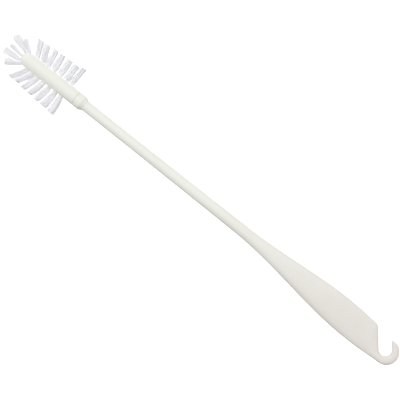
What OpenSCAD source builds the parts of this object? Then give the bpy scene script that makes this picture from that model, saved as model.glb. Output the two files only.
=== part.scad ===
// Bottle brush for laboratory glassware. A moulded handle ends in a crowned grip with a
// hook, a round bar is pressed into its neck, and nylon tufts are held in the bar by wire
// staples: two opposite rows along it and a fan at its tip.
// The brush lies flat on the bench. X runs from the bristle tip to the hook, Y is across
// and Z is up. The origin is on the bench under the middle of the brush.

/* [Brush bar] */
// Diameter of the round bar that carries the tufts
core_d = 12.4; // [11:0.1:16]
// Length of the bar from the start of its domed tip to the neck seam
core_len = 54.6; // [50:0.2:90]
// Diameter of the spigot on the bar's root
spigot_d = 7; // [5:0.1:8.4]
// Length of the spigot
spigot_len = 9.5; // [6:0.1:11.4]
// Radial clearance round the spigot
spigot_clear = 0.05; // [0.02:0.01:0.2]

/* [Tufts] */
// Distance between two tufts of a row
tuft_pitch = 6.4; // [5:0.1:6.4]
// Distance between the first two tufts of a row, next to the domed tip
first_pitch = 5.3; // [5.3:0.1:6.4]
// Distance from the neck seam to the last hole of a row
last_hole = 12; // [8:0.5:14]
// How much nearer to the tip the holes of the lower row are
row_stagger = 0.5; // [0:0.1:1.2]
// Diameter of a hole in the rows
row_hole_d = 4.2; // [2.6:0.1:4.4]
// Depth of a hole in the rows
row_hole_depth = 4.8; // [3.8:0.1:5]
// Diameter of a hole in the domed tip
tip_hole_d = 2.3; // [1.8:0.05:2.4]
// Depth of a hole in the domed tip
tip_hole_depth = 3.6; // [3:0.1:4]
// Reach of the first tuft of a row, from the bar's axis
reach_first = 20.5; // [14:0.5:30]
// Reach of the last tuft of a row, from the bar's axis
reach_last = 23.5; // [14:0.5:32]
// Reach of the longest tip tufts, from the centre of the dome
reach_tip = 23.2; // [16:0.1:30]
// Width to which a plain row tuft spreads at its trimmed end
row_spread_d = 5.4; // [3:0.1:5.6]
// Width to which the fullest tip tuft spreads at its trimmed end
tip_spread_d = 6; // [3:0.1:6.2]
// Clearance between a tuft and the bar
tuft_clear = 0.05; // [0.02:0.01:0.15]

/* [Staples] */
// Thickness of the flat staple wire
staple_t = 0.4; // [0.2:0.05:0.6]
// Width of the flat staple wire, along the hole
staple_h = 1.5; // [1:0.1:2]
// How far each end of a staple bites into the bar
staple_bite = 0.35; // [0.2:0.05:0.5]
// Height of a staple above the bottom of its hole, where the bristles fold round it
staple_lift = 0.6; // [0.4:0.1:0.8]

/* [Neck and stem] */
// How far the neck collar stands proud of the bar
collar_step = 0.25; // [0.1:0.05:1]
// Length of the neck collar
collar_len = 5.2; // [5:0.1:14]
// Length of the shoulder that runs from the collar down to the stem
shoulder_len = 4.6; // [3:0.1:10]
// Stem diameter at the neck
stem_d = 9.2; // [7.5:0.1:11]
// Length of stem that keeps its neck diameter
stem_straight = 59.2; // [20:0.2:100]
// Length of stem that widens slowly towards the grip
stem_taper = 105; // [40:1:200]
// Stem diameter where the grip begins
stem_end_d = 10.2; // [9:0.1:12]

/* [Grip] */
// Length of the grip, from the stem to the centre of the hook
grip_len = 153.8; // [125:0.2:200]
// Thickness of the grip where it is thickest
grip_t = 13; // [10.5:0.1:16]
// Widest reach of the grip's front edge, on the side where the hook opens
grip_front = 10.7; // [8.6:0.1:13]
// Distance from the stem to where the front edge starts to widen
front_start = 8; // [0:0.5:14]
// Distance from the stem to the front edge's widest point
front_len = 104; // [80:1:108]
// Widest reach of the grip's back edge
grip_back = 16.4; // [15:0.1:20]
// Distance from the stem to the back edge's widest point
back_len = 122; // [80:1:124]
// Length over which the back edge draws in to the hook
back_fall = 27; // [20:0.5:33]
// Squareness of the grip's section, from 2 for an ellipse upwards
crown = 2.5; // [2:0.1:4]

/* [Hook] */
// Width of the hook slot
slot_w = 10.5; // [8:0.1:14]
// Diameter of the hook's round outline
hook_d = 21.2; // [20:0.1:23]
// Width of the hook's band on the point's side of the slot
band_w = 6.2; // [5.4:0.1:7]
// Width of the hook's band below the slot
band_bottom = 7.3; // [6.4:0.1:8.2]
// Thickness of the hook
hook_t = 7; // [5:0.1:10]
// Sideways offset of the hook's centre from the handle's axis
hook_drop = 3.3; // [2:0.1:6]
// Angle between the slot and the handle's axis
slot_angle = 51.5; // [45:0.5:60]
// Length of the slot's straight side on the grip
mouth_len = 19.5; // [17:0.1:22]
// Distance over which the corner of the mouth is rounded
corner_round = 1.4; // [1:0.1:4]

/* [Hidden] */
$fn = 64;
ROW = 7;
// lean of each row tuft towards the tip, its share of the spread, and how much longer than
// the row's even line it was trimmed
upper_lean = [27, 20, 11, 8, 3, -3, -3];
lower_lean = [29, 24, 18, 15, 10, 5, -6];
upper_fan = [1.05, 1.15, 1.1, 1, 1.1, 1, 0.9];
lower_fan = [1, 1, 1, 1.1, 1, 1.35, 1.3];
upper_trim = [-0.1, -0.1, 0.3, 0.1, 0, -0.6, 0.7];
lower_trim = [0.2, -0.5, 0.2, -0.2, 0, -0.2, 0];
// each tip tuft: place on the dome, angle of its hole, lean of its bristles,
// share of the reach, share of the spread
TIP = [
    [65, 31, 38, 0.84, 0.85],
    [32, 14, 25, 0.98, 1],
    [0, 0, 4, 0.87, 0.65],
    [-32, -14, -10, 1, 0.95],
    [-65, -31, -31, 0.85, 1]
];

core_r = core_d / 2;
collar_r = core_r + collar_step;
spigot_r = spigot_d / 2;
stem_r = stem_d / 2;
stem_end_r = stem_end_d / 2;
row_r = row_hole_d / 2;
tip_r = tip_hole_d / 2;
slot_r = slot_w / 2;
hook_r = hook_d / 2;
up_slot = [-cos(slot_angle), sin(slot_angle)];
off_slot = [sin(slot_angle), cos(slot_angle)];
// from the centre of the slot's round bottom to the centre of the hook's outline
hook_shift = (slot_r + band_w - hook_r) * off_slot - (slot_r + band_bottom - hook_r) * up_slot;
axis_z = max(2 * collar_r, grip_t) / 2;
// how far the bristles bulge past the rim of their hole
bulge = 0.15;
// the grip starts this much wider than the stem that runs into it
grip_start_r = stem_end_r + 0.05;

// places along X, from the bristle tip on
total = reach_tip + core_len + collar_len + shoulder_len + stem_straight + stem_taper
    + grip_len + hook_shift[0] + hook_r;
dome_x = reach_tip - total / 2;
seam_x = dome_x + core_len;
stem_x = seam_x + collar_len + shoulder_len;
grip_x = stem_x + stem_straight + stem_taper;

plastic = "#E8E9E3";
nylon = "#E7E7EC";

// ---- brush bar and what is in it ----

function hole_x(i, side) = seam_x - last_hole
    - (i == 0 ? (ROW - 2) * tuft_pitch + first_pitch : (ROW - 1 - i) * tuft_pitch)
    - (side < 0 ? row_stagger : 0);

function reach(i, side) = reach_first + (reach_last - reach_first) * i / (ROW - 1)
    + (side > 0 ? upper_trim[i] : lower_trim[i]);

// puts its children at a hole's mouth in a row, with local z pointing out of the hole
module at_row_hole(i, side) {
    translate([hole_x(i, side), side * core_r, axis_z])
        rotate([-90 * side, 0, 0])
            children();
}

// the same for a hole in the dome
module at_tip_hole(t) {
    translate([dome_x - core_r * cos(t[0]), core_r * sin(t[0]), axis_z])
        rotate([0, 0, -t[1]])
            rotate([0, -90, 0])
                rotate([0, 0, 90])
                    children();
}

module bar_body(grow = 0) {
    translate([dome_x, 0, axis_z]) {
        sphere(r = core_r + grow);
        rotate([0, 90, 0])
            cylinder(h = core_len, r = core_r + grow);
    }
}

module spigot() {
    chamfer = 0.6;
    translate([seam_x, 0, axis_z])
        rotate([0, 90, 0])
            rotate_extrude()
                polygon([
                    [0, -1], [spigot_r, -1], [spigot_r, spigot_len - chamfer],
                    [spigot_r - chamfer, spigot_len], [0, spigot_len]
                ]);
}

// a blind hole, cut a little past the surface
module tuft_hole(r, depth) {
    translate([0, 0, -depth])
        cylinder(h = depth + core_r, r = r);
}

// a staple lies across its hole, just above the bottom
module staple(r, depth) {
    translate([0, 0, staple_lift + staple_h / 2 - depth])
        cube([staple_t, 2 * (r + staple_bite), staple_h], center = true);
}

module staples() {
    color("silver") {
        for (i = [0 : ROW - 1], side = [1, -1])
            at_row_hole(i, side) staple(row_r, row_hole_depth);
        for (t = TIP)
            at_tip_hole(t) staple(tip_r, tip_hole_depth);
    }
}

module brush_bar() {
    color(plastic)
        difference() {
            union() {
                bar_body();
                spigot();
            }
            for (i = [0 : ROW - 1], side = [1, -1])
                at_row_hole(i, side) {
                    tuft_hole(row_r, row_hole_depth);
                    staple(row_r, row_hole_depth);
                }
            for (t = TIP)
                at_tip_hole(t) {
                    tuft_hole(tip_r, tip_hole_depth);
                    staple(tip_r, tip_hole_depth);
                }
        }
}

// the part of a tuft inside its hole, folded round the staple
module tuft_root(r, depth) {
    difference() {
        translate([0, 0, -depth])
            cylinder(h = depth + bulge, r = r - tuft_clear);
        staple(r, depth);
    }
}

// the part of a tuft outside its hole, which leans and spreads; it starts below the surface
module tuft_brush(r, spread_r, length, lean) {
    slope = (spread_r - r - bulge) / length;
    rotate([0, -lean, 0])
        translate([0, 0, -r])
            cylinder(h = length + r, r1 = r + bulge - slope * r, r2 = spread_r);
}

module row_tuft(i, side) {
    lean = (side > 0) ? upper_lean[i] : lower_lean[i];
    spread_r = row_spread_d / 2 * (side > 0 ? upper_fan[i] : lower_fan[i]);
    length = (reach(i, side) - core_r) / cos(lean);
    color(nylon) {
        at_row_hole(i, side) tuft_root(row_r, row_hole_depth);
        difference() {
            at_row_hole(i, side) tuft_brush(row_r, spread_r, length, lean);
            bar_body(tuft_clear);
        }
    }
}

module tip_tuft(t) {
    length = reach_tip * t[3] - core_r;
    color(nylon) {
        at_tip_hole(t) tuft_root(tip_r, tip_hole_depth);
        difference() {
            at_tip_hole(t)
                tuft_brush(tip_r, t[4] * tip_spread_d / 2, length, t[1] - t[2]);
            bar_body(tuft_clear);
        }
    }
}

// ---- handle ----

// collar, shoulder and stem, turned about the axis from the neck seam on
module neck_and_stem() {
    edge = 0.4;
    lap = 1;
    shoulder_x = collar_len + shoulder_len;
    taper_x = shoulder_x + stem_straight;
    shoulder = [for (k = [0 : 8]) [
        stem_r + (collar_r - stem_r) * (1 + cos(22.5 * k)) / 2,
        collar_len + shoulder_len * k / 8
    ]];
    translate([seam_x, 0, axis_z])
        rotate([0, 90, 0])
            rotate_extrude()
                polygon(concat(
                    [[0, 0], [collar_r - edge, 0], [collar_r, edge]],
                    shoulder,
                    [[stem_r, taper_x], [stem_end_r, taper_x + stem_taper],
                     [stem_end_r, taper_x + stem_taper + lap],
                     [0, taper_x + stem_taper + lap]]
                ));
}

function rise(x, length) = let (u = min(max(x / length, 0), 1)) u * u * (3 - 2 * u);

// centres of the slot's round bottom and of the hook's outline, from the start of the grip
slot_c = [grip_len, -hook_drop];
hook_c = slot_c + hook_shift;
slot_end = slot_c - slot_r * off_slot;
mouth = slot_end + mouth_len * up_slot;

// edges of the grip seen from above
function front(x) = grip_start_r
    + (grip_front - grip_start_r) * rise(x - front_start, front_len - front_start)
    - (grip_front - mouth[1]) * pow(max(x - front_len, 0) / (mouth[0] - front_len), 2);

function back(x) = grip_start_r + (grip_back - grip_start_r) * rise(x, back_len)
    - (grip_back + hook_c[1] - hook_r) * rise(x - hook_c[0] + back_fall, back_fall);

function thickness(x) = 2 * grip_start_r + (grip_t - 2 * grip_start_r) * rise(x, 0.5 * grip_len)
    - (grip_t - hook_t) * rise(x - 0.6 * grip_len, 0.4 * grip_len);

// the rounded corner of the mouth, from the front edge to the slot's side
corner_x = mouth[0] - corner_round;
function corner(u) = pow(1 - u, 2) * [corner_x, front(corner_x)] + 2 * u * (1 - u) * mouth
    + u * u * (mouth - corner_round * up_slot);

// path of the inner edge from the corner to the side of the slot's bottom next to the back
arc_start = 180 + atan2(off_slot[1], off_slot[0]);
corner_path = 1.7 * corner_round;
side_path = mouth_len - corner_round;
turn_path = slot_r * (270 - arc_start) * PI / 180;
bend_path = corner_path + side_path + turn_path;

function slot_arc(a) = slot_c + slot_r * [cos(a), sin(a)];

function inner(p) =
    p < corner_path ? corner(p / corner_path)
    : p < corner_path + side_path
        ? mouth - (corner_round + p - corner_path) * up_slot
    : slot_arc(arc_start + (p - corner_path - side_path) / slot_r * 180 / PI);

// each section of the grip and hook: [outer end, inner end, thickness, squareness]
function grip_section(x) = [
    [x, -back(x)], [x, front(x)], thickness(x), 2 + (crown - 2) * rise(x, 0.4 * grip_len)
];

function bend_section(p) = let (x = corner_x + (hook_c[0] - corner_x) * p / bend_path)
    [[x, -back(x)], inner(p), thickness(x), crown];

function hook_section(a) =
    [hook_c + hook_r * [cos(a), sin(a)], slot_arc(a), hook_t, crown];

// the outline's circle runs on until it meets the slot's straight side in a blunt point;
// circle_x and circle_y are places across and along the slot, from the slot's centre
circle_x = hook_shift * off_slot;
circle_y = hook_shift * up_slot;
point_len = circle_y + sqrt(hook_r * hook_r - pow(slot_r - circle_x, 2));
function point_section(u) = let (base = slot_c + u * point_len * up_slot) [
    base + (circle_x + sqrt(hook_r * hook_r - pow(u * point_len - circle_y, 2))) * off_slot,
    base + slot_r * off_slot,
    hook_t * (1 - 0.4 * u * u),
    crown
];

arc_end = arc_start + 180;

sections = concat(
    [for (k = [0 : 15]) grip_section(corner_x * k / 16)],
    [for (k = [0 : 12]) bend_section(bend_path * k / 12)],
    [for (k = [1 : 9]) hook_section(270 + (arc_end - 270) * k / 10)],
    [for (u = [0, 0.25, 0.5, 0.7, 0.85, 0.95]) point_section(u)]
);

function power(v, n) = sign(v) * pow(abs(v), 2 / n);

// one ring of points round a section
SIDES = 32;
function ring(s) = [for (k = [0 : SIDES - 1])
    let (
        a = 360 * k / SIDES,
        mid = (s[0] + s[1]) / 2,
        half = (s[1] - s[0]) / 2 * power(cos(a), s[3])
    ) [mid[0] + half[0], mid[1] + half[1], s[2] / 2 * power(sin(a), s[3])]];

module grip_and_hook() {
    last = len(sections) - 1;
    points = [for (s = sections) each ring(s)];
    walls = [for (j = [0 : last - 1], k = [0 : SIDES - 1])
        let (m = (k + 1) % SIDES)
        [j * SIDES + k, (j + 1) * SIDES + k, (j + 1) * SIDES + m, j * SIDES + m]];
    start = [for (k = [0 : SIDES - 1]) k];
    end = [for (k = [SIDES - 1 : -1 : 0]) last * SIDES + k];
    translate([grip_x, 0, axis_z])
        polyhedron(points, concat(walls, [start, end]), convexity = 4);
}

module socket() {
    translate([seam_x, 0, axis_z])
        rotate([0, 90, 0])
            translate([0, 0, -1])
                cylinder(h = spigot_len + 1.5, r = spigot_r + spigot_clear);
}

module handle() {
    color(plastic)
        difference() {
            union() {
                neck_and_stem();
                grip_and_hook();
            }
            socket();
        }
}

handle();
brush_bar();
staples();
for (i = [1 : ROW]) {
    row_tuft(i - 1, 1);
    row_tuft(i - 1, -1);
}
for (i = [1 : len(TIP)])
    tip_tuft(TIP[i - 1]);
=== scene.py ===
# %% [markdown]
# # A bottle brush, modelled and finished in Blender
#
# The real object is a slim cleaning brush for laboratory glassware. It has a white moulded
# handle that ends in a crowned grip with a hook, a round bar pressed into the handle's neck,
# and tufts of clear nylon bristles that wire staples hold in the bar.
#
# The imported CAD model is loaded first. It is the fixed frame: every piece made here goes
# where a CAD node says, in metres, and the brush lies flat with Z up.

# %% Load the CAD frame
import math
import random

import bmesh
import bpy
from mathutils import Matrix, Vector


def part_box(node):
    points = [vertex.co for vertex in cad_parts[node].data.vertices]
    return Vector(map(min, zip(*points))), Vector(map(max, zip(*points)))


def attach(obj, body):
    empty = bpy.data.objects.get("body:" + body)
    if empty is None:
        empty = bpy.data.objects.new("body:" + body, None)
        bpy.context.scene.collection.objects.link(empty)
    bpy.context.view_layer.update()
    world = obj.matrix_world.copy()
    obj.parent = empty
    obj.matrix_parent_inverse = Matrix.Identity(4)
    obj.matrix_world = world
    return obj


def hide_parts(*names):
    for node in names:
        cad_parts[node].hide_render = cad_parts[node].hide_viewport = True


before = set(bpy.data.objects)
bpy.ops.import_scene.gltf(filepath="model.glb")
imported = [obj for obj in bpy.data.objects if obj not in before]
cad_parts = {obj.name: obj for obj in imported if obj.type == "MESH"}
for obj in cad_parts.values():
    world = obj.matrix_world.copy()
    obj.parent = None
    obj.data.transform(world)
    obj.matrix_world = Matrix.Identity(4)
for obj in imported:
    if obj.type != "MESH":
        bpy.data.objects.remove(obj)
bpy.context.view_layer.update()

MM = 0.001
print("CAD nodes:", len(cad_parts))

# %% [markdown]
# ## Places that everything else is measured from
#
# The neck seam is where the bar meets the handle, and it is the best place to measure from
# in both directions. The CAD boxes of the two pieces give the seam, the height of the axis
# above the bench and the bar's radius, so nothing has to be fitted by eye.

# %% Places from the CAD boxes
handle_low, handle_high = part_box("handle")
bar_low, bar_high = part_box("brush_bar")
SEAM_X = handle_low.x / MM
AXIS_Z = (handle_low.z + handle_high.z) / 2 / MM
BAR_R = (bar_high.y - bar_low.y) / 2 / MM
DOME_X = bar_low.x / MM + BAR_R
print(f"seam x {SEAM_X:.2f}, axis height {AXIS_Z:.2f}, bar radius {BAR_R:.2f}, "
      f"middle of the dome x {DOME_X:.2f} mm")

# %% [markdown]
# ## Small helpers
#
# An operator in Blender acts on whatever is selected, and the CAD nodes are selected after
# they load. So each new piece starts with an empty selection. Sizes below are written in
# millimetres, and these helpers turn them to metres.


# %% Selection and unit helpers
def deselect_all():
    """Goes back to object mode with nothing selected."""
    if bpy.context.mode != "OBJECT":
        bpy.ops.object.mode_set(mode="OBJECT")
    bpy.ops.object.select_all(action="DESELECT")


def only(piece):
    """Selects this piece alone and makes it the active one."""
    deselect_all()
    piece.select_set(True)
    bpy.context.view_layer.objects.active = piece


def metres(x, y, z):
    return (x * MM, y * MM, z * MM)


def push(x=0.0, z=0.0):
    """Extrudes what is selected by so many millimetres along X and Z."""
    bpy.ops.mesh.extrude_region_move(TRANSFORM_OT_translate={"value": (x * MM, 0, z * MM)})


def triangles(piece):
    return sum(len(p.vertices) - 2 for p in piece.data.polygons)


# %% [markdown]
# ## The handle, part 1: neck and stem
#
# The handle is one injection moulding, round at the neck and stem and oval further on. A
# round part could be spun from a profile. Here it starts as a flat circle on the neck seam
# that is extruded along the axis and scaled at each step, because the same ring of points can
# then run on into the grip, which isn't round. The steps are a rounded lip, the collar that
# grips the bar, a shoulder that runs down in a soft S, and a long stem that thickens slowly.

# %% Sizes of the neck and stem
HANDLE_SIDES = 32
COLLAR_R = BAR_R + 0.25
LIP = 0.45
LIP_BEND = 0.3 * LIP
COLLAR_LEN = 5.2
COLLAR_RINGS = (1.1, 3.4, COLLAR_LEN - 0.5)
SHOULDER_LEN = 4.6
SHOULDER_STEPS = 8
SHOULDER_HOLD = 1.5
STEM_R = 4.6
STRAIGHT_LEN = 59.2
STRAIGHT_STEPS = 4
STEM_END_R = 5.1
TAPER_LEN = 105.0
TAPER_STEPS = 8
SHOULDER_END = COLLAR_LEN + SHOULDER_LEN
GRIP_X = SEAM_X + COLLAR_LEN + SHOULDER_LEN + STRAIGHT_LEN + TAPER_LEN
print(f"the grip starts {GRIP_X - SEAM_X:.0f} mm from the seam, at x {GRIP_X:.1f} mm")


# %% Helpers that start a round face and carry it on, ring by ring
def extrude_ring(centre, turn=0.0, width=1.0, height=1.0):
    """Extrudes the selected face so that its middle comes to centre, then turns and scales it."""
    middle = extrude_ring.at
    bpy.ops.mesh.extrude_region_move(
        TRANSFORM_OT_translate={"value": tuple((centre[i] - middle[i]) * MM for i in range(3))})
    if turn:
        bpy.ops.transform.rotate(
            value=turn, orient_axis="Z", orient_type="GLOBAL", center_override=metres(*centre))
    if width != 1.0 or height != 1.0:
        bpy.ops.transform.resize(
            value=(width, width, height), orient_type="GLOBAL", center_override=metres(*centre))
    extrude_ring.at = centre


def start_round(name, sides, radius, facing):
    """Starts a piece as a flat round face on the neck seam, turned by facing degrees."""
    deselect_all()
    bpy.ops.mesh.primitive_circle_add(
        vertices=sides, radius=radius * MM, fill_type="NGON",
        location=metres(SEAM_X, 0, AXIS_Z), rotation=(0, math.radians(facing), 0))
    piece = bpy.context.object
    piece.name = name
    bpy.ops.object.transform_apply(location=True, rotation=True, scale=True)
    bpy.ops.object.mode_set(mode="EDIT")
    bpy.ops.mesh.select_all(action="SELECT")
    extrude_ring.at = (SEAM_X, 0, AXIS_Z)
    return piece


def extrude_round(rings, radius):
    """Carries a round face of that radius on through rings, each a place on X and a radius."""
    for x, new_radius in rings:
        scale = new_radius / radius
        extrude_ring((x, 0, AXIS_Z), width=scale, height=scale)
        radius = new_radius


# %% Extrude the neck and stem
neck = [(LIP_BEND, COLLAR_R - LIP_BEND), (LIP, COLLAR_R)]
neck += [(along, COLLAR_R) for along in COLLAR_RINGS]
for step in range(SHOULDER_STEPS + 1):
    drop = (1 + math.cos(math.pi * step / SHOULDER_STEPS)) / 2
    neck.append((COLLAR_LEN + SHOULDER_LEN * step / SHOULDER_STEPS,
                 STEM_R + (COLLAR_R - STEM_R) * drop))
neck.append((SHOULDER_END + SHOULDER_HOLD, STEM_R))
for step in range(1, STRAIGHT_STEPS + 1):
    neck.append((SHOULDER_END + STRAIGHT_LEN * step / STRAIGHT_STEPS, STEM_R))
for step in range(1, TAPER_STEPS + 1):
    neck.append((SHOULDER_END + STRAIGHT_LEN + TAPER_LEN * step / TAPER_STEPS,
                 STEM_R + (STEM_END_R - STEM_R) * step / TAPER_STEPS))

handle = start_round("moulded_handle", HANDLE_SIDES, COLLAR_R - LIP, 90)
extrude_round([(SEAM_X + along, ring_radius) for along, ring_radius in neck], COLLAR_R - LIP)
print(f"neck and stem: {len(neck)} rings, {neck[-1][0]:.0f} mm long")

# %% [markdown]
# ## The handle, part 2: grip and hook
#
# The grip widens from the stem, more on its back than on its front, and its section goes
# from round to a crowned oval. A hook could be cut out of a wide grip with a Boolean, but
# the moulding's edges are round everywhere and the cut would leave them sharp. So the form is
# one ring of points swept along a path shaped like a J. At the mouth of the slot the front
# edge turns back down the slot's side, round the slot's bottom and up to the hook's point,
# while the back edge keeps going round the outside. Each ring runs from an outer point to an
# inner point, and the rings fan out round the corner of the mouth. Two edges seen from above
# and a thickness are all it takes.

# %% Sizes of the grip and hook
GRIP_LEN = 153.8
GRIP_T = 13.0
FULL_T_BY, THIN_FROM, THIN_OVER = 0.5, 0.6, 0.4
ELLIPSE, CROWN, CROWN_BY = 2.0, 2.5, 0.4
FRONT, FRONT_START, FRONT_LEN = 10.7, 8.0, 104.0
BACK, BACK_LEN, BACK_FALL = 16.4, 122.0, 27.0
START_R = STEM_END_R + 0.05
SLOT_R = 5.25
SLOT_ANGLE = math.radians(51.5)
MOUTH_LEN, CORNER, CORNER_SWEEP = 19.5, 1.4, 1.7
HOOK_R, HOOK_T, HOOK_DROP = 10.6, 7.0, 3.3
BAND_W, BAND_BOTTOM = 6.2, 7.3
POINT_STEPS = (0, 0.15, 0.3, 0.45, 0.6, 0.73, 0.84, 0.92, 0.96)
POINT_THINS = 0.4
GRIP_STEPS, BEND_STEPS, TURN_STEPS = 24, 24, 13
DOWN = 1.5 * math.pi

# %% Where the slot, the hook and the mouth lie
UP = Vector((-math.cos(SLOT_ANGLE), math.sin(SLOT_ANGLE)))
OFF = Vector((math.sin(SLOT_ANGLE), math.cos(SLOT_ANGLE)))
SHIFT_OFF, SHIFT_UP = SLOT_R + BAND_W - HOOK_R, HOOK_R - SLOT_R - BAND_BOTTOM
slot_c = Vector((GRIP_LEN, -HOOK_DROP))
hook_c = slot_c + SHIFT_OFF * OFF + SHIFT_UP * UP
mouth = slot_c - SLOT_R * OFF + MOUTH_LEN * UP
print(f"slot centre at x {GRIP_X + slot_c.x:.1f}, y {slot_c.y:.1f} mm")
print(f"mouth at x {GRIP_X + mouth.x:.1f}, y {mouth.y:.1f} mm")


# %% The two edges of the grip and its thickness
def rise(x, length):
    """Goes softly from 0 to 1 over that length."""
    u = min(max(x / length, 0.0), 1.0)
    return u * u * (3 - 2 * u)


def front(x):
    fall = (FRONT - mouth.y) * (max(x - FRONT_LEN, 0) / (mouth.x - FRONT_LEN)) ** 2
    return START_R + (FRONT - START_R) * rise(x - FRONT_START, FRONT_LEN - FRONT_START) - fall


def back(x):
    fall = (BACK + hook_c.y - HOOK_R) * rise(x - hook_c.x + BACK_FALL, BACK_FALL)
    return START_R + (BACK - START_R) * rise(x, BACK_LEN) - fall


def thickness(x):
    return (2 * START_R + (GRIP_T - 2 * START_R) * rise(x, FULL_T_BY * GRIP_LEN)
            - (GRIP_T - HOOK_T) * rise(x - THIN_FROM * GRIP_LEN, THIN_OVER * GRIP_LEN))


print(f"width half way along the grip: {front(GRIP_LEN / 2) + back(GRIP_LEN / 2):.1f} mm")

# %% The inner edge from the mouth's corner to the bottom of the slot
corner_x = mouth.x - CORNER
arc_start = math.pi + math.atan2(OFF.y, OFF.x)
corner_path = CORNER_SWEEP * CORNER
side_path = MOUTH_LEN - CORNER
turn_path = SLOT_R * (DOWN - arc_start)
bend_path = corner_path + side_path + turn_path


def on_circle(centre, r, angle):
    return centre + r * Vector((math.cos(angle), math.sin(angle)))


def inner_edge(p):
    """The point p millimetres along the inner edge, counted from where the corner starts."""
    if p < corner_path:
        u = p / corner_path
        start = Vector((corner_x, front(corner_x)))
        return (1 - u) ** 2 * start + 2 * u * (1 - u) * mouth + u * u * (mouth - CORNER * UP)
    if p < corner_path + side_path:
        return mouth - (CORNER + p - corner_path) * UP
    return on_circle(slot_c, SLOT_R, arc_start + (p - corner_path - side_path) / SLOT_R)


print(f"inner edge: {bend_path:.1f} mm from the mouth's corner to the bottom of the slot")

# %% List the sections: outer point, inner point, thickness, squareness
sections = []
for step in range(1, GRIP_STEPS):
    x = corner_x * step / GRIP_STEPS
    square = ELLIPSE + (CROWN - ELLIPSE) * rise(x, CROWN_BY * GRIP_LEN)
    sections.append((Vector((x, -back(x))), Vector((x, front(x))), thickness(x), square))
for step in range(BEND_STEPS + 1):
    p = bend_path * step / BEND_STEPS
    x = corner_x + (hook_c.x - corner_x) * p / bend_path
    sections.append((Vector((x, -back(x))), inner_edge(p), thickness(x), CROWN))
for step in range(1, TURN_STEPS):
    angle = DOWN + (arc_start + math.pi - DOWN) * step / TURN_STEPS
    outer, inner = on_circle(hook_c, HOOK_R, angle), on_circle(slot_c, SLOT_R, angle)
    sections.append((outer, inner, HOOK_T, CROWN))
point_len = SHIFT_UP + math.sqrt(HOOK_R ** 2 - (SLOT_R - SHIFT_OFF) ** 2)
for u in POINT_STEPS:
    base = slot_c + u * point_len * UP
    far = SHIFT_OFF + math.sqrt(HOOK_R ** 2 - (u * point_len - SHIFT_UP) ** 2)
    thin = HOOK_T * (1 - POINT_THINS * u * u)
    sections.append((base + far * OFF, base + SLOT_R * OFF, thin, CROWN))
print(f"grip and hook: {len(sections)} sections")

# %% Reshape a ring from an oval to a fuller, crowned one
TOO_SMALL = 1e-4


def crown_ring(mesh, before, after):
    """Moves the selected ring from one squareness to another: 2 is an ellipse, more is fuller."""
    ring = [v for v in mesh.verts if v.select]
    middle = sum((v.co for v in ring), Vector()) / len(ring)
    wide = max((v.co - middle).xy.length for v in ring)
    high = max(abs(v.co.z - middle.z) for v in ring)
    for v in ring:
        arm = v.co - middle
        u, w = arm.xy.length / wide, abs(arm.z) / high
        angle = math.atan2(w ** (before / 2), u ** (before / 2))
        u_new, w_new = math.cos(angle) ** (2 / after), math.sin(angle) ** (2 / after)
        scale_u = u_new / u if u > TOO_SMALL else 1.0
        scale_w = w_new / w if w > TOO_SMALL else 1.0
        v.co = middle + Vector((arm.x * scale_u, arm.y * scale_u, arm.z * scale_w))


# %% Extrude the grip and hook along the sections
wide, thick, heading, square = STEM_END_R * 2, STEM_END_R * 2, math.pi / 2, ELLIPSE
for outer, inner, new_thick, new_square in sections:
    across = inner - outer
    new_wide, new_heading = across.length, math.atan2(across.y, across.x)
    middle = (outer + inner) / 2
    extrude_ring((GRIP_X + middle.x, middle.y, AXIS_Z), turn=heading - new_heading,
                 width=new_wide / wide, height=new_thick / thick)
    if new_square > square:
        crown_ring(bmesh.from_edit_mesh(handle.data), square, new_square)
    wide, thick, heading, square = new_wide, new_thick, new_heading, new_square
bpy.ops.object.mode_set(mode="OBJECT")
print(f"handle cage: {len(handle.data.vertices)} vertices")

# %% [markdown]
# ## The handle, part 3: socket and smoothing
#
# The neck is hollow, and the bar's spigot is pressed into it. The socket could be cut with a
# Boolean, but an inset and two extrusions keep the mesh in clean rings, which smooth
# better. A Subdivision Surface of one level then turns the cage into the smooth skin of a
# moulding. It is applied, so that the piece is plain mesh like a CAD node.

# %% Sizes of the spigot and its socket
SPIGOT_R = 3.5
SPIGOT_LEN = 9.5
SPIGOT_NOSE = 0.6
SPIGOT_GAP = 0.05
SOCKET_LEAD = 0.8
ON_SEAM, FACES_X = 0.01, 0.99
SMOOTH_UP_TO = 35
socket_depth = SOCKET_LEAD + SPIGOT_LEN - SPIGOT_NOSE
print(f"socket {socket_depth:.1f} mm deep for a spigot of {SPIGOT_LEN:.1f} mm")


# %% Helpers that pick faces and finish a mesh
def select_faces(piece, test):
    """Selects only the faces whose middle (in mm) and normal pass the test, in face mode."""
    bpy.ops.object.mode_set(mode="EDIT")
    bpy.ops.mesh.select_mode(type="FACE")
    bpy.ops.mesh.select_all(action="DESELECT")
    mesh = bmesh.from_edit_mesh(piece.data)
    for face in mesh.faces:
        face.select_set(test(face.calc_center_median() / MM, face.normal))
    bmesh.update_edit_mesh(piece.data)
    return sum(face.select for face in mesh.faces)


def finish_mesh(piece):
    """Makes the piece's faces point outwards and shades it smooth, but for its sharp edges."""
    only(piece)
    bpy.ops.object.mode_set(mode="EDIT")
    bpy.ops.mesh.select_all(action="SELECT")
    bpy.ops.mesh.normals_make_consistent(inside=False)
    bpy.ops.object.mode_set(mode="OBJECT")
    bpy.ops.object.shade_smooth_by_angle(angle=math.radians(SMOOTH_UP_TO))


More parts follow.
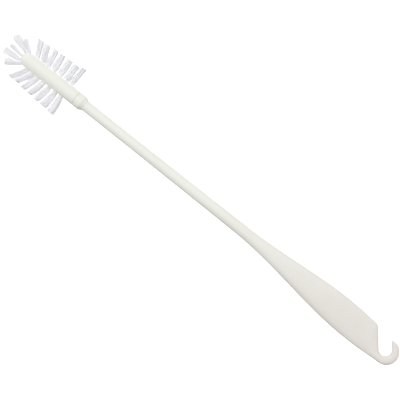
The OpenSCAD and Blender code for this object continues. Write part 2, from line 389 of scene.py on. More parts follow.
# %% Sink the socket and smooth the handle
only(handle)
count = select_faces(handle, lambda middle, normal: abs(middle.x - SEAM_X) < ON_SEAM)
bpy.ops.mesh.inset(thickness=(COLLAR_R - LIP - SPIGOT_R - SPIGOT_GAP) * MM, depth=0)
push(SOCKET_LEAD)
push(SPIGOT_LEN - SPIGOT_NOSE)
bpy.ops.object.mode_set(mode="OBJECT")
smooth = handle.modifiers.new("smooth", "SUBSURF")
smooth.levels = smooth.render_levels = 1
bpy.ops.object.modifier_apply(modifier="smooth")
finish_mesh(handle)
print(f"handle: {count} seam face sunk, {triangles(handle)} triangles")

# %% [markdown]
# ## The brush bar
#
# The bar is a plain round rod with a half-round tip, and its life is in its holes: seven
# along each side and five fanned over the tip, all drilled blind. A stock cylinder and half a
# ball could be joined, but it is made like the neck, as a circle extruded along the axis, with
# rings close together so that the holes cut small clean faces. Its end at the seam has a small
# chamfer, which makes the seam show as a fine line.

# %% Extrude the bar from the seam to the dome
BAR_SIDES, BAR_STEPS = 64, 32
CHAMFER = 0.55
DOME_STEP, DOME_RINGS = 6, 14
chamfer_x = SEAM_X - CHAMFER
rings = [(chamfer_x, BAR_R)]
for step in range(1, BAR_STEPS + 1):
    rings.append((chamfer_x + (DOME_X - SEAM_X + CHAMFER) * step / BAR_STEPS, BAR_R))
for step in range(1, DOME_RINGS + 1):
    angle = math.radians(DOME_STEP * step)
    rings.append((DOME_X - BAR_R * math.sin(angle), BAR_R * math.cos(angle)))
bar = start_round("drilled_bar", BAR_SIDES, BAR_R - CHAMFER, -90)
extrude_round(rings, BAR_R - CHAMFER)
bpy.ops.mesh.merge(type="CENTER")
print(f"bar: {len(rings)} rings from x {SEAM_X:.1f} to {rings[-1][0]:.1f} mm")

# %% Add the spigot that sits in the neck
seam_faces = select_faces(bar, lambda middle, normal: normal.x > FACES_X)
bpy.ops.mesh.inset(thickness=(BAR_R - CHAMFER - SPIGOT_R) * MM, depth=0)
push(SPIGOT_LEN - SPIGOT_NOSE)
push(SPIGOT_NOSE)
nose = (SPIGOT_R - SPIGOT_NOSE) / SPIGOT_R
bpy.ops.transform.resize(
    value=(1, nose, nose), center_override=metres(SEAM_X + SPIGOT_LEN, 0, AXIS_Z))
bpy.ops.object.mode_set(mode="OBJECT")
print(f"spigot: {seam_faces} seam face pushed out by {SPIGOT_LEN:.1f} mm")

# %% [markdown]
# ## Where the tufts stand
#
# Each tuft has a hole with a mouth on the bar's skin and a direction straight out of it. The
# bristles leave the hole in that direction and then lean. Those of the rows lean towards the
# tip, most of all in the tufts nearest to it, and the last tufts stand up or lean back a
# little. The five tip tufts fan out. No two tufts are quite alike, so two short lists hold
# the numbers of each one, and both the drills and the bristles are made from them.
#
# In a row, lean is in degrees, fan is the share of the usual width at the cut end, trim is how
# much longer the tuft is in millimetres, and belly is how far the side towards the handle bulges.
# Foot says how far the outermost strands spread just above the hole, in millimetres, on the
# side towards the tip and on the side towards the handle. A tip tuft has three angles round the
# dome in degrees, for its hole's mouth, its drilling and its bristles, then its share of the
# full reach, its fan and its foot.

# %% Sizes of the holes and tufts
ROW, PITCH, FIRST_PITCH, LAST_HOLE, STAGGER = 7, 6.4, 5.3, 12.0, 0.5
ROW_HOLE_R, ROW_DEPTH, ROW_SPREAD, ROW_COUNT = 2.1, 4.8, 2.6, 120
ROW_REACH, ROW_GROWTH = 20.5, 3
TIP_HOLE_R, TIP_DEPTH, TIP_SPREAD, TIP_COUNT = 1.15, 3.6, 2.95, 76
REACH_TIP = 23.2
ROWS = {
    "upper": {
        "side": 1,
        "lean": (27, 20, 11, 8, 2.5, -1.5, -3),
        "fan": (1.15, 1.25, 1.1, 1, 1.2, 1.15, 0.9),
        "trim": (-0.1, -0.1, 0.3, 0.1, 0, -0.6, 0.7),
        "belly": (-0.4, 0.2, 0.2, 0.5, 0.3, 0.1, 0),
        "foot": ((1.7, 0), (0, 4), (4.5, 0.5), (4.5, 1.7), (1, 3.7), (-0.3, 4.5), (3.5, 3.7))},
    "lower": {
        "side": -1,
        "lean": (29, 24, 19, 15, 9, 4, -6),
        "fan": (1, 1, 1.1, 1.05, 0.95, 1.3, 1.3),
        "trim": (0.2, -0.5, 0.2, -0.2, 0, -0.2, 0),
        "belly": (0.3, 0.4, 0.3, 1.5, 1.4, 1.2, 0.9),
        "foot": ((2, 0.7), (0.7, 3.5), (6, 0.7), (0.7, 0.7), (0.7, 0.7), (-2, 1.5), (0.7, 0.7))}}
TIPS = (
    (65, 31, 36.5, 0.83, 0.85, (1.6, 1.6)),
    (32, 14, 23.5, 1.05, 1.3, (1.6, -2.5)),
    (0, 0, 5, 0.88, 0.7, (-0.5, 1)),
    (-32, -14, -6.5, 1.01, 1.15, (0.8, 1.6)),
    (-65, -31, -27.5, 0.92, 1.15, (1.6, 1.6)))
print(f"two rows of {ROW} holes and {len(TIPS)} holes over the tip")


# %% List the tufts of the two rows
def hole_x(i, side):
    steps = (ROW - 2) * PITCH + FIRST_PITCH if i == 0 else (ROW - 1 - i) * PITCH
    return SEAM_X - LAST_HOLE - steps - (STAGGER if side < 0 else 0)


tufts = {}
for row, kind in ROWS.items():
    side = kind["side"]
    for i in range(ROW):
        lean = math.radians(kind["lean"][i])
        reach = ROW_REACH + ROW_GROWTH * i / (ROW - 1) + kind["trim"][i]
        tufts[f"{row}_tuft_{i + 1}"] = {
            "mouth": Vector((hole_x(i, side), side * BAR_R)),
            "out": Vector((0, side)),
            "brush": Vector((-math.sin(lean), side * math.cos(lean))),
            "length": (reach - BAR_R) / math.cos(lean),
            "hole": ROW_HOLE_R,
            "depth": ROW_DEPTH,
            "spread": ROW_SPREAD * kind["fan"][i],
            "belly": kind["belly"][i],
            "foot": kind["foot"][i],
            "count": ROW_COUNT,
            "level": 1.0}
first = tufts["upper_tuft_1"]["mouth"]
print(f"{len(tufts)} row tufts; the first stands at x {first.x:.1f}, y {first.y:.1f} mm")

# %% List the tufts of the tip
for i, (place, drilled, lean, share, fan, foot) in enumerate(TIPS):
    place, drilled, lean = math.radians(place), math.radians(drilled), math.radians(lean)
    tufts[f"tip_tuft_{i + 1}"] = {
        "mouth": Vector((DOME_X - BAR_R * math.cos(place), BAR_R * math.sin(place))),
        "out": Vector((-math.cos(drilled), math.sin(drilled))),
        "brush": Vector((-math.cos(lean), math.sin(lean))),
        "length": REACH_TIP * share - BAR_R,
        "hole": TIP_HOLE_R,
        "depth": TIP_DEPTH,
        "spread": TIP_SPREAD * fan,
        "belly": 0,
        "foot": foot,
        "count": round(TIP_COUNT * max(fan, 1)),
        "level": 0.0}
print(f"{len(tufts)} tufts, {sum(tuft['count'] for tuft in tufts.values())} strands")

# %% [markdown]
# ## Drilling the bar
#
# On the real bar every hole is drilled or moulded blind, and its rim is a little soft. The
# rims show between the strands, so the holes are cut for real. Each drill is a cylinder
# that stands in its hole and reaches well past the skin. Joined into one object, the drills
# are taken away from the bar by a single Boolean, and a fine Bevel softens the rims.

# %% Model the drills
DRILL_SIDES = 32
drills = []
for tuft in tufts.values():
    middle = tuft["mouth"] + tuft["out"] * (BAR_R - tuft["depth"]) / 2
    heading = math.atan2(tuft["out"].y, tuft["out"].x)
    deselect_all()
    bpy.ops.mesh.primitive_cylinder_add(
        vertices=DRILL_SIDES, radius=tuft["hole"] * MM, depth=(tuft["depth"] + BAR_R) * MM,
        location=metres(middle.x, middle.y, AXIS_Z), rotation=(0, math.radians(90), heading))
    drills.append(bpy.context.object)
deselect_all()
for drill in drills:
    drill.select_set(True)
bpy.context.view_layer.objects.active = drills[0]
bpy.ops.object.join()
drills = bpy.context.object
print(f"{len(tufts)} drills joined into one")

# %% Take the drills away from the bar and soften the rims
RIM_W, RIM_SEGMENTS, RIM_ANGLE = 0.12, 2, 40
only(bar)
cut = bar.modifiers.new("drill", "BOOLEAN")
cut.object, cut.operation, cut.solver = drills, "DIFFERENCE", "EXACT"
bpy.ops.object.modifier_apply(modifier="drill")
bpy.data.objects.remove(drills)
rim = bar.modifiers.new("rim", "BEVEL")
rim.width, rim.segments = RIM_W * MM, RIM_SEGMENTS
rim.limit_method, rim.angle_limit = "ANGLE", math.radians(RIM_ANGLE)
bpy.ops.object.modifier_apply(modifier="rim")
finish_mesh(bar)
print(f"bar: {triangles(bar)} triangles")

# %% [markdown]
# ## Bristles
#
# A tuft is a bundle of nylon filaments, each about a third of a millimetre thick, folded round
# its staple and trimmed at the end. Blender's hair could draw them, but hair isn't a mesh and
# would be lost when the model is exported. So one filament is modelled with six sides and a
# few rings along it, and every bristle is a copy of it, laid along its own slightly different
# curve, because the small differences are what make it a brush.

# %% Model one filament
FILAMENT_R, FILAMENT_SIDES, FILAMENT_RINGS = 0.17, 6, 8
CUT_LEN, CUT_WIDTH = 0.15, 0.6
deselect_all()
bpy.ops.mesh.primitive_circle_add(
    vertices=FILAMENT_SIDES, radius=FILAMENT_R * MM, fill_type="NGON", location=(0, 0, 0))
filament = bpy.context.object
bpy.ops.object.mode_set(mode="EDIT")
bpy.ops.mesh.select_all(action="SELECT")
for ring in range(FILAMENT_RINGS):
    push(z=1)
push(z=CUT_LEN)
bpy.ops.transform.resize(value=(CUT_WIDTH, CUT_WIDTH, 1))
bpy.ops.mesh.select_all(action="SELECT")
bpy.ops.mesh.normals_make_consistent(inside=False)
bpy.ops.object.mode_set(mode="OBJECT")

# %% Keep it as a template, with its length counted from 0 to 1
template = [(v.co.x / MM, v.co.y / MM, v.co.z / MM / (FILAMENT_RINGS + CUT_LEN))
            for v in filament.data.vertices]
template_faces = [tuple(p.vertices) for p in filament.data.polygons]
bpy.data.objects.remove(filament)
print(f"filament: {len(template)} vertices, {len(template_faces)} faces")

# %% Lay a filament along a curve
HOLE_SHARE = 1 / FILAMENT_RINGS
UPWARDS = Vector((0, 0, 1))


def curve_point(points, t):
    """A point on a filament's way and its direction: up the hole, then along a Bezier curve."""
    root, a, b, c, d = points
    if t < HOLE_SHARE:
        return root + (a - root) * t / HOLE_SHARE, (a - root).normalized()
    t = (t - HOLE_SHARE) / (1 - HOLE_SHARE)
    s = 1 - t
    place = s ** 3 * a + 3 * s * s * t * b + 3 * s * t * t * c + t ** 3 * d
    along = 3 * s * s * (b - a) + 6 * s * t * (c - b) + 3 * t * t * (d - c)
    return place, along.normalized()


def lay_filament(points):
    """The template's vertices, in metres, moved onto the curve."""
    placed = []
    for x, y, t in template:
        place, along = curve_point(points, min(t, 1.0))
        side = along.cross(UPWARDS).normalized()
        placed.append((place + side * x + along.cross(side) * y) * MM)
    return placed


# %% [markdown]
# ## One strand's way through the tuft
#
# A strand comes up its hole from the fold round the staple, leaves at the mouth and bends
# through a knee just above it and a wrist nearer the end. Where it stands in the hole is its
# share sideways and its lift up or down, each from -1 to 1, and it keeps that place all the
# way, only further out, as the tuft fans. The row tufts are trimmed level with the bar, the
# tip tufts square to themselves. Small random shifts make each strand its own.

# %% The five points that a strand passes
HOLE_GAP, FOLD_LIFT, STAPLE_HALF = 0.05, 0.4, 0.38
KNEE_AT, KNEE_BOW = 0.12, 0.3
WRIST_AT, WRIST_BOW, WRIST_FOOT, WRIST_STRAY = 0.42, 1.8, 0.4, 0.45
FLATTER, UNEVEN_CUT = 0.9, 0.4
WANDER = 0.2
WANDER_UP, WANDER_KNEE = WANDER * 0.7, WANDER * 0.5
WANDER_WRIST_UP, WANDER_WRIST = WANDER * 0.4, WANDER * 0.6


def strand_way(tuft, flip, share, lift, astray, longer, dice):
    """Root, mouth, knee, wrist and cut end of the strand that stands at share and lift."""
    out, brush = Vector((*tuft["out"], 0)), Vector((*tuft["brush"], 0))
    mouth_3d = Vector((*tuft["mouth"], AXIS_Z))
    across_out, across_brush = UPWARDS.cross(out) * flip, UPWARDS.cross(brush) * flip
    length, inside = tuft["length"], tuft["hole"] - FILAMENT_R - HOLE_GAP
    grow = (tuft["spread"] - FILAMENT_R) / inside
    a, b = share * inside, lift * inside
    bow, foot = tuft["belly"] * max(share, 0), tuft["foot"][share > 0] * share ** 3
    root = (mouth_3d - out * (tuft["depth"] - FOLD_LIFT)
            + across_out * math.copysign(max(abs(a), STAPLE_HALF), a) + UPWARDS * b)
    leave = mouth_3d + across_out * a + UPWARDS * b
    aside = a * grow + astray + dice.gauss(0, WANDER)
    level = tuft["level"] * aside * across_brush.dot(out) / brush.dot(out)
    end = (mouth_3d + brush * (length + longer - level + dice.uniform(-UNEVEN_CUT, 0.0))
           + across_brush * aside + UPWARDS * (b * grow * FLATTER + dice.gauss(0, WANDER_UP)))
    knee = (leave + out * length * KNEE_AT
            + across_out * (KNEE_BOW * bow + foot + dice.gauss(0, WANDER_KNEE)))
    wrist = (end - brush * length * WRIST_AT + UPWARDS * dice.gauss(0, WANDER_WRIST_UP)
             + across_brush * (WRIST_BOW * bow - WRIST_FOOT * foot - astray * WRIST_STRAY
                               + dice.gauss(0, WANDER_WRIST)))
    return root, leave, knee, wrist, end


# %% [markdown]
# ## Whole tufts
#
# The strands of a tuft are set out like the seeds of a sunflower, each one a fixed turn
# further round than the last, which fills the round hole evenly. In some tufts a few strands
# stray: the list gives about how many of them, how far sideways and how much longer or, below
# zero, shorter, in millimetres. Each strand also gets four numbers that its material reads
# later: its own tint, the way along it, how near the tuft's edge it stands, weighted to one side
# for painted shade there, and whether it is at a root of the upper row, for a painted glow.

# %% Make a tuft out of filaments
GOLDEN_TURN, TURN_JITTER, STRAY_LEAST, TIP_SIDE_SHADE_SHARE = 2.39996, 0.2, 0.4, 0.6
ROOT_END = HOLE_SHARE + 0.01
STRAND_SMOOTH = 70
LOOSE = {"upper_tuft_6": (14, 3.2, -0.2), "upper_tuft_7": (8, -2.6, -1.0),
         "lower_tuft_6": (16, 3.0, -3.0), "lower_tuft_7": (2, 6.0, -7.0),
         "tip_tuft_1": (16, 2.4, -1.5), "tip_tuft_2": (12, -2.2, -5.0),
         "tip_tuft_3": (3, 1.2, -9.0), "tip_tuft_4": (6, -1.6, -7.0)}


def make_tuft(name, tuft, loose, dice):
    """Lays a tuft's bristles in one mesh; loose is how many stray, how far and how much longer."""
    upper = name.startswith("upper")
    count, (strays, sideways, lengthwise) = tuft["count"], loose
    vertices, faces, strand, along, rim, root_glow = [], [], [], [], [], []
    for k in range(count):
        turn = k * GOLDEN_TURN + dice.uniform(-TURN_JITTER, TURN_JITTER)
        far = math.sqrt((k + 0.5) / count)
        share, lift = far * math.cos(turn), far * math.sin(turn)
        stray = strays > 0 and k % (count // strays) == 0
        astray = dice.uniform(STRAY_LEAST, 1) * sideways if stray else 0.0
        longer = lengthwise * dice.random() if stray else 0.0
        base = len(vertices)
        vertices += lay_filament(
            strand_way(tuft, -1 if upper else 1, share, lift, astray, longer, dice))
        faces += [tuple(base + i for i in face) for face in template_faces]
        strand += [dice.random()] * len(template)
        along += [t for x, y, t in template]
        # Painted shade: rim counts the tuft's edge on one side (towards the handle in the rows)
        # fully and the other edge by a smaller share.
        rim += [max(share, -TIP_SIDE_SHADE_SHARE * share)] * len(template)
        # Painted light: the roots of the upper row are marked to glow more.
        root_glow += [float(upper and t < ROOT_END) for x, y, t in template]
    mesh = bpy.data.meshes.new(name)
    mesh.from_pydata(vertices, [], faces)
    painted = {"strand": strand, "along": along, "rim": rim, "root_glow": root_glow}
    for attribute, values in painted.items():
        mesh.attributes.new(attribute, "FLOAT", "POINT").data.foreach_set("value", values)
    bundle = bpy.data.objects.new(name, mesh)
    bpy.context.scene.collection.objects.link(bundle)
    only(bundle)
    bpy.ops.object.shade_smooth_by_angle(angle=math.radians(STRAND_SMOOTH))
    return bundle


# %% Make all the tufts
FIRST_SEED = 100
bundles = {}
for number, (name, tuft) in enumerate(tufts.items()):
    dice = random.Random(FIRST_SEED + number)
    loose = LOOSE.get(name, (0, 0, 0))
    bundles[name] = make_tuft(name.replace("tuft", "bristles"), tuft, loose, dice)
print(f"{len(bundles)} tufts, {sum(triangles(b) for b in bundles.values())} triangles")

# %% [markdown]
# ## Materials
#
# Three finishes dress the brush: the satin plastic of both mouldings, the clear nylon of the
# bristles and the zinc on the staples' wire. Colours are written as sRGB hex values, as on a
# colour chart, and one function turns them into the linear values that a shader takes. A
# second small function adds a node with its settings and its links, so that each material
# reads from top to bottom like a recipe. The scale of each pattern is how many of its
# features go into a millimetre, divided by MM to count them in a metre.


# %% Helpers for materials
def linear(hex_colour):
    """Turns an sRGB hex colour into the linear colour that the shader takes."""
    channels = [int(hex_colour[i:i + 2], 16) / 255 for i in (1, 3, 5)]
    return (*[c / 12.92 if c <= 0.04045 else ((c + 0.055) / 1.055) ** 2.4 for c in channels], 1.0)


def add_node(tree, kind, inputs=None, links=None, **settings):
    """Adds a node, sets its settings and inputs, and links outputs of other nodes into it."""
    node = tree.nodes.new(kind)
    for key, value in settings.items():
        setattr(node, key, value)
    for key, value in (inputs or {}).items():
        node.inputs[key].default_value = value
    for key, (other, output) in (links or {}).items():
        tree.links.new(other.outputs[output], node.inputs[key])
    return node


def new_material(name):
    """Makes a material with an empty node tree, and gives both."""
    material = bpy.data.materials.new(name)
    material.use_nodes = True
    material.node_tree.nodes.clear()
    return material, material.node_tree


# The Mix node has several sockets of each name, so its factor and colours go by number.
FACTOR, FIRST_COLOUR, SECOND_COLOUR, MIXED = 0, 6, 7, 2
WHITE = (1, 1, 1, 1)

# %% [markdown]
# ### Moulded polypropylene
#
# The handle and the bar are injection mouldings. Natural polypropylene gives the eye a milky,
# faintly warm white, with soft wide highlights from the fine grain of the steel mould. The
# tint drifts a little, as the melt cools unevenly. The grip is painted a shade darker and warmer
# than the stem: this is painted shade, for the grip lying in less light than the stem. Where the
# two halves of the mould met, a thin raised line runs round the edge. Real mould grain is near
# 0.05 mm, too fine to show, so it is drawn at about 0.45 mm, and the parting line is drawn 0.36 mm
# wide for the same reason.

# %% Tint and grain of the mouldings
moulded, tree = new_material("moulded_polypropylene")
CLOUDS_PER_MM, GRAINS_PER_MM = 0.06, 2.2
GRIP_TINT_FROM, GRIP_TINT_FULL = 0.0, 0.16
place = add_node(tree, "ShaderNodeTexCoord")
cloud = add_node(tree, "ShaderNodeTexNoise", {"Scale": CLOUDS_PER_MM / MM, "Detail": 2.0},
                 {"Vector": (place, "Object")})
split = add_node(tree, "ShaderNodeSeparateXYZ", None, {"Vector": (place, "Object")})
# Painted shade: the grip's darker, warmer tint fades in along X from 0 to 0.16 m, for the grip
# lying in less light than the stem.
thick = add_node(tree, "ShaderNodeMapRange",
                 {"From Min": GRIP_TINT_FROM, "From Max": GRIP_TINT_FULL},
                 {"Value": (split, "X")})
slim_tint = add_node(tree, "ShaderNodeMix",
                     {FIRST_COLOUR: linear("#E4E5DE"), SECOND_COLOUR: linear("#DFE0D7")},
                     {FACTOR: (cloud, "Fac")}, data_type="RGBA")
shaded_grip_tint = add_node(tree, "ShaderNodeMix",
                      {FIRST_COLOUR: linear("#DEDAD5"), SECOND_COLOUR: linear("#D9D5CF")},
                      {FACTOR: (cloud, "Fac")}, data_type="RGBA")
tint = add_node(tree, "ShaderNodeMix", None,
                {FACTOR: (thick, "Result"), FIRST_COLOUR: (slim_tint, MIXED),
                 SECOND_COLOUR: (shaded_grip_tint, MIXED)}, data_type="RGBA")
grain = add_node(tree, "ShaderNodeTexNoise", {"Scale": GRAINS_PER_MM / MM, "Detail": 3.0},
                 {"Vector": (place, "Object")})
satin = add_node(tree, "ShaderNodeMapRange", {"To Min": 0.36, "To Max": 0.5},
                 {"Value": (grain, "Fac")})
pitted = add_node(tree, "ShaderNodeBump", {"Strength": 0.35, "Distance": 0.03 * MM},
                  {"Height": (grain, "Fac")})
print(f"grain of {1 / GRAINS_PER_MM:.2f} mm in clouds of {1 / CLOUDS_PER_MM:.0f} mm")

# %% Parting line and surface of the mouldings
PARTING_HALF, PARTING_H = 0.18, 0.08
off_plane = add_node(tree, "ShaderNodeMath", {1: AXIS_Z * MM}, {0: (split, "Z")},
                     operation="SUBTRACT")
distance = add_node(tree, "ShaderNodeMath", None, {0: (off_plane, "Value")},
                    operation="ABSOLUTE")
ridge = add_node(tree, "ShaderNodeMapRange",
                 {"From Max": PARTING_HALF * MM, "To Min": 1.0, "To Max": 0.0},
                 {"Value": (distance, "Value")}, interpolation_type="SMOOTHSTEP")
parting = add_node(tree, "ShaderNodeBump", {"Strength": 0.6, "Distance": PARTING_H * MM},
                   {"Height": (ridge, "Result"), "Normal": (pitted, "Normal")})
surface = add_node(tree, "ShaderNodeBsdfPrincipled",
                   {"IOR": 1.49, "Subsurface Weight": 0.12,
                    "Subsurface Radius": (1.0, 0.95, 0.8), "Subsurface Scale": 1.5 * MM},
                   {"Base Color": (tint, MIXED), "Roughness": (satin, "Result"),
                    "Normal": (parting, "Normal")})
add_node(tree, "ShaderNodeOutputMaterial", None, {"Surface": (surface, "BSDF")})
print(f"{moulded.name}: {len(tree.nodes)} nodes")

# %% [markdown]
# ### Drawn nylon
#
# Bristle filament is drawn through a die, so it comes out smooth, clear and glossy, and a
# bundle of it gives the eye a cool translucent white with darker cut ends. With
# transmission in the shader a bundle comes out too dark, because much of the light is lost on
# its way from strand to strand. So scattering below the skin and a weak painted glow stand in
# for the light that the real strands pass on. The four attributes laid on the bristles steer the
# rest: each strand has its own tint, and the cut ends are darker. The strands at the edge of a
# tuft on one side, the side towards the handle in the rows, are painted darker as painted shade,
# and the roots of the upper row get a stronger painted glow, as painted light where most light
# reaches them. The grain in the gloss is drawn at about 0.7 mm, since real drawing marks are too
# fine to show.

# %% Tint of the nylon
nylon, tree = new_material("drawn_nylon")
DRAW_MARKS_PER_MM = 1.5
strand = add_node(tree, "ShaderNodeAttribute", attribute_name="strand")
rim = add_node(tree, "ShaderNodeAttribute", attribute_name="rim")
along = add_node(tree, "ShaderNodeAttribute", attribute_name="along")
# Painted shade: strands at the tuft's edge on the side that rim weights fully are darkened; the
# darker cut ends are added to it.
edge = add_node(tree, "ShaderNodeMapRange", {"From Min": 0.6, "To Max": 0.6},
                {"Value": (rim, "Fac")})
cut_end = add_node(tree, "ShaderNodeMapRange", {"From Min": 0.85, "To Max": 0.5},
                   {"Value": (along, "Fac")})
edge_shade_and_cut_ends = add_node(tree, "ShaderNodeMath", None,
                  {0: (edge, "Result"), 1: (cut_end, "Result")}, operation="ADD")
mixed = add_node(tree, "ShaderNodeMath", {1: 0.3}, {0: (strand, "Fac"), 2: (edge_shade_and_cut_ends, "Value")},
                 operation="MULTIPLY_ADD", use_clamp=True)
tint = add_node(tree, "ShaderNodeMix",
                {FIRST_COLOUR: linear("#FFFFFF"), SECOND_COLOUR: linear("#E4E4EC")},
                {FACTOR: (mixed, "Value")}, data_type="RGBA")
print(f"a tint for each of {sum(tuft['count'] for tuft in tufts.values())} strands")

# %% Glow, gloss and surface of the nylon
place = add_node(tree, "ShaderNodeTexCoord")
# Painted light: every strand glows weakly, and the roots of the upper row glow more.
root_glow = add_node(tree, "ShaderNodeAttribute", attribute_name="root_glow")
painted_glow = add_node(tree, "ShaderNodeMapRange", {"To Min": 0.08, "To Max": 0.2},
                  {"Value": (root_glow, "Fac")})
grain = add_node(tree, "ShaderNodeTexNoise", {"Scale": DRAW_MARKS_PER_MM / MM, "Detail": 2.0},
                 {"Vector": (place, "Object")})
gloss = add_node(tree, "ShaderNodeMapRange", {"To Min": 0.22, "To Max": 0.4},
                 {"Value": (grain, "Fac")})
surface = add_node(tree, "ShaderNodeBsdfPrincipled",
                   {"IOR": 1.53, "Subsurface Weight": 0.8, "Subsurface Radius": (1.0, 1.0, 1.0),
                    "Subsurface Scale": 1.0 * MM, "Emission Color": linear("#F2F2FA")},
                   {"Base Color": (tint, MIXED), "Roughness": (gloss, "Result"),
                    "Emission Strength": (painted_glow, "Result")})
add_node(tree, "ShaderNodeOutputMaterial", None, {"Surface": (surface, "BSDF")})
print(f"{nylon.name}: {len(tree.nodes)} nodes")

# %% [markdown]
# ### Galvanised wire
#
# The staples are cut from flat steel wire with a skin of zinc, which gives the eye a dull
# blue-grey metal in small patches called spangle. They sit at the bottom of the holes and
# keep the CAD model's own shape, so they only need this finish. Spangle on thin wire is too
# fine to show and is drawn at about 0.4 mm.

# %% Flat galvanised wire
wire, tree = new_material("galvanised_wire")
SPANGLES_PER_MM = 2.5
place = add_node(tree, "ShaderNodeTexCoord")
spangle = add_node(tree, "ShaderNodeTexVoronoi", {"Scale": SPANGLES_PER_MM / MM},
                   {"Vector": (place, "Object")})
tint = add_node(tree, "ShaderNodeMix",
                {FIRST_COLOUR: linear("#C4C6C9"), SECOND_COLOUR: linear("#A9ABAF")},
                {FACTOR: (spangle, "Color")}, data_type="RGBA")
surface = add_node(tree, "ShaderNodeBsdfPrincipled", {"Metallic": 1.0, "Roughness": 0.35},
                   {"Base Color": (tint, MIXED)})
add_node(tree, "ShaderNodeOutputMaterial", None, {"Surface": (surface, "BSDF")})
print(f"{wire.name}: {len(tree.nodes)} nodes")

# %% [markdown]
# ## Put each piece on the frame
#
# Nothing on this brush moves, so every piece rides on the root body. Each new piece takes
# the place of the CAD node that it was modelled on, which is hidden. The staples
# stay as they are in the CAD model and only get their material.


# %% Give each piece its material and its place on the frame
def wear(piece, material):
    """Gives a piece this material alone."""
    piece.data.materials.clear()
    piece.data.materials.append(material)


def join_frame(piece, material):
    """Gives a new piece its material and its body."""
    wear(piece, material)
    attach(piece, "root")


join_frame(handle, moulded)
join_frame(bar, moulded)
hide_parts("handle")
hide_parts("brush_bar")
for name, bundle in bundles.items():
    join_frame(bundle, nylon)
    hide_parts(name)
wear(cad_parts["staples"], wire)
print(f"{len(bundles) + 2} new pieces on the frame, and the staples as they are")

# %% [markdown]
# ## Floor
#
# The brush lies on a sheet of white paper. It is a plane set a fiftieth of a millimetre low,
# so that it never fights with the grip for the same place, and it glows a little, so that it
# stays paler than the brush all over. It is hidden from reflected and bounced rays, which
# would otherwise wash out the brush's underside.

# %% Floor
FLOOR_SIZE, FLOOR_DROP = 6.0, 0.02
deselect_all()
bpy.ops.mesh.primitive_plane_add(size=FLOOR_SIZE, location=metres(0, 0, -FLOOR_DROP))
floor = bpy.context.object
floor.name = "floor"
paper, tree = new_material("white_paper")
surface = add_node(tree, "ShaderNodeBsdfPrincipled",
                   {"Base Color": (0.9, 0.9, 0.9, 1), "Roughness": 0.9,
                    "Emission Color": WHITE, "Emission Strength": 0.6})
add_node(tree, "ShaderNodeOutputMaterial", None, {"Surface": (surface, "BSDF")})
floor.data.materials.append(paper)
floor.visible_diffuse = floor.visible_glossy = False
print(f"floor: {FLOOR_SIZE:.0f} m square")

# %% [markdown]
# ## Camera
#
# The camera looks down on the flat of the brush, leaning 10 degrees, with a long lens
# that keeps the two ends at nearly the same scale. It is turned so that the brush runs
# from corner to corner. Three directions at right angles make its matrix.

# %% Camera
TURN, TILT = math.radians(38.5), math.radians(10)
VIEW_X, VIEW_Y = SEAM_X + 134.95, -2.02
CAMERA_AWAY = 1.25
target = Vector(metres(VIEW_X, VIEW_Y, AXIS_Z))
level = Vector((math.cos(TILT), 0, -math.sin(TILT)))
right = math.cos(TURN) * level + math.sin(TURN) * Vector((0, 1, 0))
upward = -math.sin(TURN) * level + math.cos(TURN) * Vector((0, 1, 0))
backward = right.cross(upward)
camera_data = bpy.data.cameras.new("camera")
camera_data.sensor_width, camera_data.lens = 36.0, 137.2
camera_data.clip_start, camera_data.clip_end = 0.05, 20.0
camera = bpy.data.objects.new("camera", camera_data)
camera.matrix_world = Matrix((
    (right.x, upward.x, backward.x, 0), (right.y, upward.y, backward.y, 0),
    (right.z, upward.z, backward.z, 0), (0, 0, 0, 1)))
camera.location = target + backward * CAMERA_AWAY
bpy.context.scene.collection.objects.link(camera)
bpy.context.scene.camera = camera
print(f"camera {CAMERA_AWAY:.2f} m away with a {camera_data.lens:.0f} mm lens")

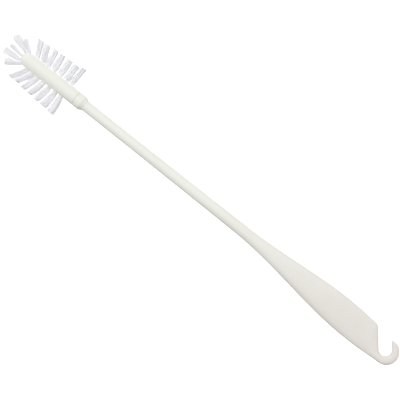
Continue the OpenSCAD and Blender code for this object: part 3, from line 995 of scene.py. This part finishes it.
# %% [markdown]
# ## Light
#
# A white object on white needs soft light from nearly everywhere and a dark side somewhere,
# or its round forms go flat. So the world is a white room with one dark cap on the lower
# right, which gives the bar, the stem and the grip their darker lower edge. The camera must
# not see that cap as a grey backdrop, so the Light Path node shows it a plain wall instead.
# A big soft box overhead models the forms, and a small one lights the grip. The Standard view
# transform shows each colour as it was chosen.

# %% The room
CAP_TOWARDS, CAP_FROM, CAP_FULL = (0.35, -0.79, -0.5), 0.62, 0.906
ROOM_LIGHT, WALL_LIGHT = 0.93, 0.95
world = bpy.data.worlds.new("soft_room")
world.use_nodes = True
tree = world.node_tree
tree.nodes.clear()
sky = add_node(tree, "ShaderNodeTexCoord")
facing = add_node(tree, "ShaderNodeVectorMath", {1: CAP_TOWARDS}, {0: (sky, "Generated")},
                  operation="DOT_PRODUCT")
shade = add_node(tree, "ShaderNodeMapRange",
                 {"From Min": CAP_FROM, "From Max": CAP_FULL, "To Min": ROOM_LIGHT,
                  "To Max": 0.0},
                 {"Value": (facing, "Value")}, interpolation_type="SMOOTHSTEP")
glow = add_node(tree, "ShaderNodeBackground", {"Color": WHITE}, {"Strength": (shade, "Result")})
wall = add_node(tree, "ShaderNodeBackground", {"Color": WHITE, "Strength": WALL_LIGHT})
ray = add_node(tree, "ShaderNodeLightPath")
room = add_node(tree, "ShaderNodeMixShader", None,
                {0: (ray, "Is Camera Ray"), 1: (glow, "Background"), 2: (wall, "Background")})
add_node(tree, "ShaderNodeOutputWorld", None, {"Surface": (room, "Shader")})
bpy.context.scene.world = world
bpy.context.scene.view_settings.view_transform = "Standard"
print(f"room: {len(tree.nodes)} nodes")


# %% Soft boxes
def soft_box(name, towards, away, size, power):
    """A square area light, away metres from the middle of the view that way, turned to it."""
    light = bpy.data.lights.new(name, "AREA")
    light.shape, light.size, light.energy = "SQUARE", size, power
    lamp = bpy.data.objects.new(name, light)
    lamp.location = target + towards.normalized() * away
    lamp.rotation_euler = towards.to_track_quat("Z", "Y").to_euler()
    bpy.context.scene.collection.objects.link(lamp)
    print(f"{name}: {size:.1f} m square, {power} W, {away:.2f} m away")


soft_box("overhead_box", Vector((-0.9, 0.25, 0.8)), away=1.4, size=1.2, power=5)
soft_box("grip_box", Vector((0.12, 0.35, 0.25)), away=0.45, size=0.3, power=0.2)
